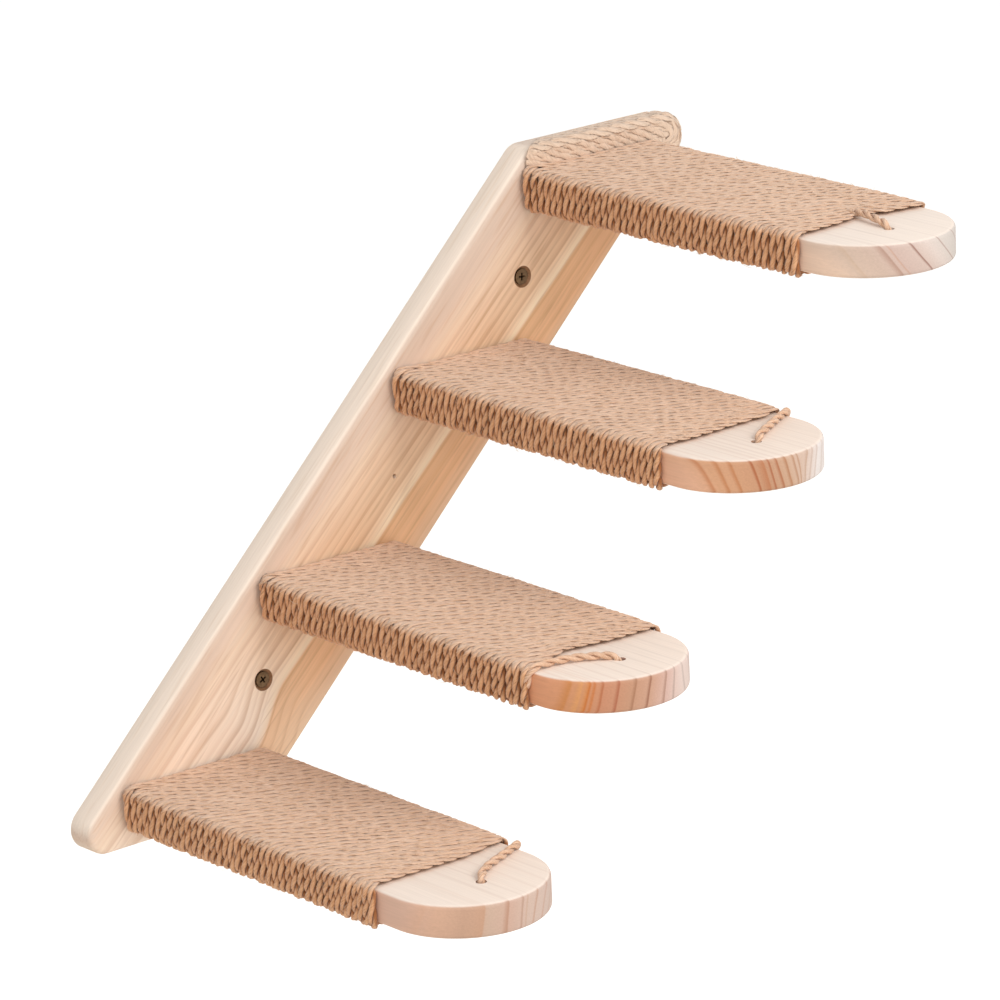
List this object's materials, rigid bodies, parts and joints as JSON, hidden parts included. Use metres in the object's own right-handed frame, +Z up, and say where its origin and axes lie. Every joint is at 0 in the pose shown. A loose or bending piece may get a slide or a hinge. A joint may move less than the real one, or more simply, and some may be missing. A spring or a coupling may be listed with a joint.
{
  "type": "cat stairs",
  "caption": "Wall-mounted cat stairs: a slanting pine board carries round-nosed steps, each wound with jute twine and screwed on from behind.",
  "frame": {"origin": "middle of the wall board's back face, halfway between the two wall screws and on the axis of the board's small centre hole", "axes": "+X along the wall towards the high end, +Y into the wall, +Z up; the steps reach out from the wall along -Y"},
  "size_m": [0.491, 0.3604, 0.3695],
  "materials": {
    "board_pine": "sanded bare pine with a zone of orange heartwood",
    "step_pine": "sanded bare pine",
    "jute_twine": "natural jute twine, undyed",
    "wall_screw_steel": "bronze-coloured steel",
    "step_screw_steel": "zinc-plated steel"
  },
  "bodies": {
    "root": {"wall_board": "board_pine", "board_end_binding": "jute_twine", "wall_screw_lower": "wall_screw_steel", "wall_screw_upper": "wall_screw_steel", "step_board_1": "step_pine", "twine_wrap_1": "jute_twine", "twine_tail_1": "jute_twine", "step_screws_1": "step_screw_steel", "step_board_2": "step_pine", "twine_wrap_2": "jute_twine", "twine_tail_2": "jute_twine", "step_screws_2": "step_screw_steel", "step_board_3": "step_pine", "twine_wrap_3": "jute_twine", "twine_tail_3": "jute_twine", "step_screws_3": "step_screw_steel", "step_board_4": "step_pine", "twine_wrap_4": "jute_twine", "twine_tail_4": "jute_twine", "step_screws_4": "step_screw_steel"}
  },
  "joints": []
}
